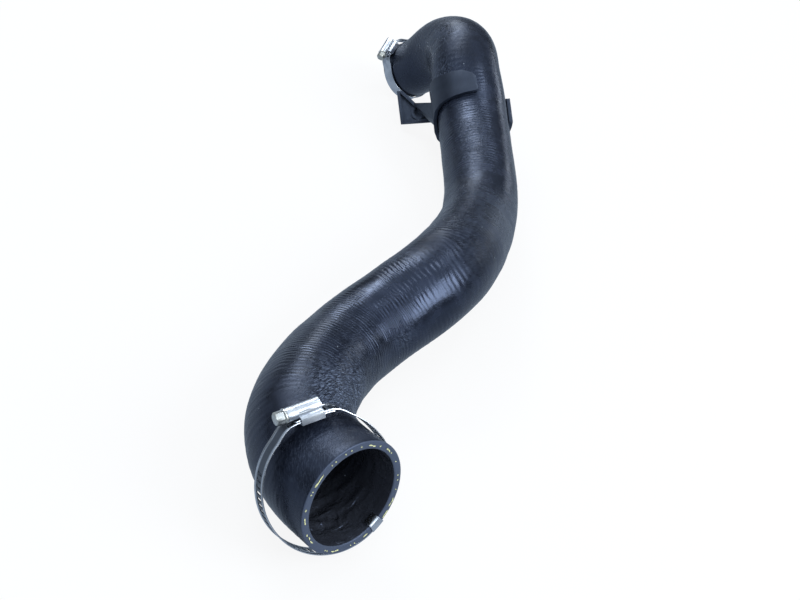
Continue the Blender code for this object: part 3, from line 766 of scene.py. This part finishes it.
def rounded_copy(name, new_name, width, segments=2, smooth=38.0):
    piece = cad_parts[name].copy()
    piece.data = piece.data.copy()
    piece.parent = None
    piece.name = new_name
    for key in list(piece.keys()):
        del piece[key]
    bpy.context.collection.objects.link(piece)
    piece.hide_set(False)
    clean_mesh(piece, merge=MERGE, flatten=FLAT)
    add_bevel(piece, width, segments, BEVEL_FROM)
    apply_all(piece)
    bpy.ops.object.shade_smooth_by_angle(angle=math.radians(smooth))
    return piece


# %% [markdown]
# ## Bands
# A band is a long thin strip, so it is modelled as one: a flat grid is laid
# along the clamp's oval, the slots are deleted from it, and Solidify and
# Bevel give it its sheet and its edges. The real band's two long edges are
# rolled outward a little so that they don't cut the rubber, and that shows
# as two bright lines. The middle between them is painted darker, a painted
# dark reflection. The oval is the CAD band's own, with the same numbers.

# %% The line of a band: an oval, flat under the housing, tail over its start
BAND_WIDTH, BAND_THICK = 10.5, 0.7
TAIL_RISE = 1.15                   # the tail lies this much above its start
RISE_BEFORE, RISE_OVER = 0.75, 0.62        # radians
HALF_STRAP = 7.0                   # half the length of the housing's strap
START_PAST, TAIL_PAST = 7.0, 3.5   # how far the two ends pass the strap
FLAT_PAST, FLAT_FADE = 1.2, 0.42   # flat so far past it, then round again
SLOT_PITCH, SLOT_HALF, SLOT_SLANT = 3.6, 2.7, 0.09
ROLLED, ROLL_WIDE = 0.28, 1.1      # rise and width of the rolled edges
# how the painted dark reflection fades out towards a band's edges
DARK_REFLECTION_FADE = 1.4


def unit(vector):
    return vector / np.linalg.norm(vector, axis=-1, keepdims=True)


def band_line(centre, axis, long_axis, a, b, housing, lift):
    """A function from angle, place across and height to a point."""
    axis = unit(np.array(axis, float))
    e = np.array(long_axis, float)
    e = unit(e - (e @ axis) * axis)
    f = np.cross(axis, e)
    mean = 0.5 * (a + b)
    straight = (HALF_STRAP + FLAT_PAST) / mean
    start = housing - (HALF_STRAP + START_PAST) / mean
    end = housing + 2 * math.pi + (HALF_STRAP + TAIL_PAST) / mean

    def oval(g):
        return (np.array(centre, float) + a * np.cos(g)[..., None] * e
                + b * np.sin(g)[..., None] * f)

    base = oval(np.array(housing))
    along_it = unit(oval(np.array(housing + 1e-3))
                    - oval(np.array(housing - 1e-3)))
    out = np.cross(along_it, axis)
    if out @ (base - centre) < 0:
        out = -out
    top = (base - centre) @ out

    def place(g, w, h):
        turn_away = (g - housing + math.pi) % (2 * math.pi) - math.pi
        raised = TAIL_RISE * smooth_step(
            (g - (start + 2 * math.pi - RISE_BEFORE)) / RISE_OVER)
        flat = smooth_step(1.0 - (np.abs(turn_away) - straight) / FLAT_FADE)
        point = oval(g)
        short = top + lift - (point - centre) @ out
        point = point + (flat * short)[..., None] * out
        radial = point - centre
        radial = unit(radial - (radial @ axis)[..., None] * axis)
        radial = unit(radial * (1 - flat)[..., None]
                      + out * flat[..., None])
        return point + w[..., None] * axis + (h + raised)[..., None] * radial

    return place, start, end, mean


# %% Lay a strip along the line, cut its slots, thicken it
def delete_faces(piece, chosen):
    only(piece)
    bpy.ops.object.mode_set(mode="EDIT")
    bpy.ops.mesh.select_all(action="DESELECT")
    bpy.ops.object.mode_set(mode="OBJECT")
    piece.data.polygons.foreach_set("select", chosen)
    bpy.ops.object.mode_set(mode="EDIT")
    bpy.ops.mesh.delete(type="FACE")
    bpy.ops.object.mode_set(mode="OBJECT")


def make_band(name, line, slots_from, dark_reflection_share):
    """A slotted band: four columns of its grid make a slot and a bridge."""
    place, start, end, mean = line
    quarter = SLOT_PITCH / 4 / mean
    count = int((end - start) / quarter)
    first_slot = int((slots_from - start) / quarter)
    last_slot = count - 3
    half = BAND_WIDTH / 2
    across = [half, half - 0.35, half - 0.75, half - ROLL_WIDE, SLOT_HALF]
    across = np.array([-w for w in across] + across[::-1])
    strips = len(across) - 1
    band, column, row = new_grid(name, count, strips)
    w = across[row]
    g = start + (end - start) * column / count
    slant = np.where(np.abs(w) <= SLOT_HALF, SLOT_SLANT * w / mean, 0.0)
    roll = ROLLED * smooth_step((np.abs(w) - half + ROLL_WIDE) / ROLL_WIDE)
    middle = np.array([f.center for f in band.data.polygons]) + 0.5
    slot_column = (middle[:, 0] * count).astype(int)
    in_middle = np.abs(middle[:, 1] - 0.5) < 0.5 / strips
    cut_out = (in_middle & (slot_column >= first_slot)
               & (slot_column < last_slot)
               & ((slot_column - first_slot) % 4 < 2))
    place_points(band, place(g + slant, w, roll))
    # the middle of the band gets a painted dark reflection, fading out before
    # the rolled edges
    paint(band, "painted_dark_reflection", dark_reflection_share * (1.0 - smooth_step(
        (np.abs(w) - SLOT_HALF) / DARK_REFLECTION_FADE)))
    delete_faces(band, cut_out)
    sheet = band.modifiers.new("sheet", "SOLIDIFY")
    sheet.thickness = BAND_THICK * MM
    sheet.offset = 0.0
    sheet.use_even_offset = True
    add_bevel(band, 0.0001, 2, math.radians(50.0))
    apply_all(band)
    clean_mesh(band)
    bpy.ops.object.shade_smooth_by_angle(angle=math.radians(40.0))
    print(name, "has", int(cut_out.sum()) // 2, "slots")
    return band


# %% The loose near band, and the far band round the hose
near_line = band_line((-211.4, -208.0, 46.4), (-0.1781, -0.8896, 0.4206),
                      (0.5444, -0.4451, -0.7110), 42.0, 39.1,
                      math.radians(150.5), 0.0)
# the near band's middle gets the full painted dark reflection
near_band = make_band("near_band", near_line, math.radians(212.0), 1.0)
finish(near_band, strip, "hose_body", ["near_clamp_band"])

FAR_SETBACK, FAR_LIFT = 1.5, 1.2
BAND_GAP = 0.6                     # between the hose and the far band
far_s = HOSE_LENGTH - FAR_SETBACK - BAND_WIDTH / 2
far_loop = (along(far_s - BAND_WIDTH / 2, line_radius) + BAND_GAP
            + BAND_THICK / 2)
far_axis = -unit(along(far_s, line_t))
far_up = np.array((0.0, 0.0, 1.0)) - far_axis[2] * far_axis
far_line = band_line(along(far_s, line_point), far_axis, far_up, far_loop,
                     far_loop, math.radians(34.0), FAR_LIFT)
# the far band's middle gets only a trace of the painted dark reflection
far_band = make_band("far_band", far_line, math.radians(204.0), 0.1)
finish(far_band, strip, "hose_body", ["far_clamp_band"])

# %% Housings and screws
for end_name, body in (("near", "near_screw"), ("far", "far_screw")):
    housing = rounded_copy(end_name + "_clamp_housing",
                           end_name + "_housing", 0.00018, 3)
    finish(housing, zinc, "hose_body",
           [end_name + "_clamp_housing"])
    screw = rounded_copy(end_name + "_clamp_screw", end_name + "_screw_body",
                         0.00015, 2)
    finish(screw, screw_zinc, body,
           [end_name + "_clamp_screw"])

# %% The strip over the near rim
clip = rounded_copy("near_rim_clip", "rim_strip", 0.00010, 2, 60.0)
finish(clip, strip, "hose_body", ["near_rim_clip"])

# %% [markdown]
# ## Holder
# The holder is moulded in black nylon: flatter than the rubber, with a fine
# spark-eroded grain and softly rounded edges.

# %% Nylon finish and the holder
nylon, tree, shader = new_finish("black_nylon")
surface = use_group(tree, grain, Scale=2600.0, Roughening=0.5)
dust = use_group(tree, specks, Scale=240.0, Amount=0.03)
colour = blend_colours(tree, surface.outputs["Mottle"],
                       (0.006, 0.008, 0.013, 1.0),
                       (0.010, 0.013, 0.021, 1.0))
colour = blend_colours(tree, dust.outputs["Mask"], colour,
                       (0.28, 0.31, 0.36, 1.0))
tree.links.new(colour, shader.inputs["Base Color"])
tree.links.new(fade(tree, surface.outputs["Height"], 0.2, 0.8, 0.36, 0.48),
               shader.inputs["Roughness"])
add_bump(tree, shader, surface.outputs["Height"], 0.0001, 0.25)
shader.inputs["Specular IOR Level"].default_value = 0.90
shader.inputs["Specular Tint"].default_value = (0.64, 0.75, 1.0, 1.0)
holder = rounded_copy("hose_holder", "holder", 0.00035, 3)
finish(holder, nylon, "hose_body", ["hose_holder"])

# %% [markdown]
# ## Studio
# The photograph was taken under a big soft ceiling of light on a white
# sweep: places that face up shine evenly, and those that face the sides go
# dark. So the room is drawn as a gradient, dim at the horizon and bright
# overhead, with a darker part behind the hose to the right. Six soft lamps
# add the brighter stretches. Only the camera sees the room as white, and it
# sees the floor nearly so.

# %% Floor
FLOOR_WHITE = 0.88        # share of the floor's white that hides its shading
FLOOR_IN_GLOSS = 0.42     # how bright the floor is in reflections
FLOOR_SIZE, FLOOR_DROP = 12.0, 0.0004
bpy.ops.object.select_all(action="DESELECT")
bpy.ops.mesh.primitive_plane_add(size=FLOOR_SIZE,
                                 location=(0, 0, -FLOOR_DROP))
floor = bpy.context.object
floor.name = "floor"
pale, tree, shader = new_finish("pale_floor")
shader.inputs["Base Color"].default_value = (0.80, 0.80, 0.80, 1.0)
shader.inputs["Roughness"].default_value = 0.9
shader.inputs["Specular IOR Level"].default_value = 0.0
ray = node(tree, "ShaderNodeLightPath")
seen = maths(tree, "MAXIMUM", ray.outputs["Is Camera Ray"],
             ray.outputs["Is Glossy Ray"])
level = fade(tree, ray.outputs["Is Camera Ray"], 0.0, 1.0,
             FLOOR_IN_GLOSS, 1.0)
tint = blend_colours(tree, ray.outputs["Is Camera Ray"],
                     (0.62, 0.78, 1.0, 1.0), (1.0, 1.0, 1.0, 1.0))
white = node(tree, "ShaderNodeEmission", {"Color": tint, "Strength": level})
mixed = node(tree, "ShaderNodeMixShader",
             {0: maths(tree, "MULTIPLY", seen, FLOOR_WHITE),
              1: shader.outputs["BSDF"], 2: white.outputs["Emission"]})
tree.links.new(mixed.outputs["Shader"],
               tree.nodes["Material Output"].inputs["Surface"])
floor.data.materials.append(pale)

# %% Room: dim at the horizon, bright overhead
DIM, BRIGHT = 0.15, 1.00
HORIZON, CEILING = math.sin(math.radians(15)), math.sin(math.radians(38))
DARK_SIDE, DARK_SHARE = (0.807, 0.142, 0.574), 0.35
DARK_FROM, DARK_FULL = 0.77, 0.93      # cosines of the angle to that side
world = bpy.data.worlds.new("room")
bpy.context.scene.world = world
world.use_nodes = True
tree = world.node_tree
seen_from = node(tree, "ShaderNodeTexCoord")
towards = node(tree, "ShaderNodeSeparateXYZ",
               {"Vector": seen_from.outputs["Generated"]})
room = tree.nodes["Background"]
room.inputs["Color"].default_value = (0.76, 0.87, 1.0, 1.0)
facing = node(tree, "ShaderNodeVectorMath",
              {0: seen_from.outputs["Generated"], 1: DARK_SIDE},
              operation="DOT_PRODUCT")
tree.links.new(maths(
    tree, "MULTIPLY",
    fade(tree, towards.outputs["Z"], HORIZON, CEILING, DIM, BRIGHT),
    fade(tree, facing.outputs["Value"], DARK_FROM, DARK_FULL, 1.0,
         DARK_SHARE)), room.inputs["Strength"])
ray = node(tree, "ShaderNodeLightPath")
white = node(tree, "ShaderNodeBackground",
             {"Color": (1.0, 1.0, 1.0, 1.0), "Strength": 1.0})
mixed = node(tree, "ShaderNodeMixShader",
             {0: ray.outputs["Is Camera Ray"],
              1: room.outputs["Background"],
              2: white.outputs["Background"]})
tree.links.new(mixed.outputs["Shader"],
               tree.nodes["World Output"].inputs["Surface"])

# %% [markdown]
# Each lamp is said the way it is read off the photograph: a highlight shows
# in which direction a soft box hangs, how wide and tall it looks from there
# and how much brighter than white it is. The lamp's place, size and power
# then follow from one distance.

# %% Lamps: name, lit place, azimuth, elevation, width and height, level
LAMP_AWAY = 2.2
LAMP_COLOUR = (0.84, 0.92, 1.0)
LAMPS = [
    ("right", (-0.15, -0.12, 0.05), 294.0, 35.0, 32.0, 34.0, 6.8),
    ("back", (0.02, -0.05, 0.07), 80.0, 43.0, 22.0, 17.0, 8.5),
    ("back_low", (-0.12, -0.12, 0.06), 57.0, 21.0, 11.0, 20.0, 2.6),
    ("overhead", (-0.04, -0.10, 0.08), 8.0, 61.0, 16.0, 10.0, 6.0),
    ("side_low", (-0.10, -0.12, 0.05), 2.0, 12.0, 22.0, 9.0, 3.2),
    ("front", (-0.22, -0.22, 0.06), 215.0, 58.0, 24.0, 8.0, 5.0),
]
for name, lit, azimuth, elevation, wide, tall, level in LAMPS:
    az, el = math.radians(azimuth), math.radians(elevation)
    away = Vector((math.cos(el) * math.cos(az), math.cos(el) * math.sin(az),
                   math.sin(el)))
    at = Vector(lit) + away * LAMP_AWAY
    bpy.ops.object.light_add(type="AREA", location=at)
    lamp = bpy.context.object
    lamp.name = "lamp_" + name
    lamp.data.shape = "RECTANGLE"
    lamp.data.size = 2 * LAMP_AWAY * math.tan(math.radians(wide / 2))
    lamp.data.size_y = 2 * LAMP_AWAY * math.tan(math.radians(tall / 2))
    lamp.data.energy = level * math.pi * lamp.data.size * lamp.data.size_y
    lamp.data.color = LAMP_COLOUR
    lamp.rotation_euler = (-away).to_track_quat("-Z", "Y").to_euler()
    print(lamp.name, round(lamp.data.energy, 2), "W")

# %% Finish with nothing selected
bpy.ops.object.select_all(action="DESELECT")
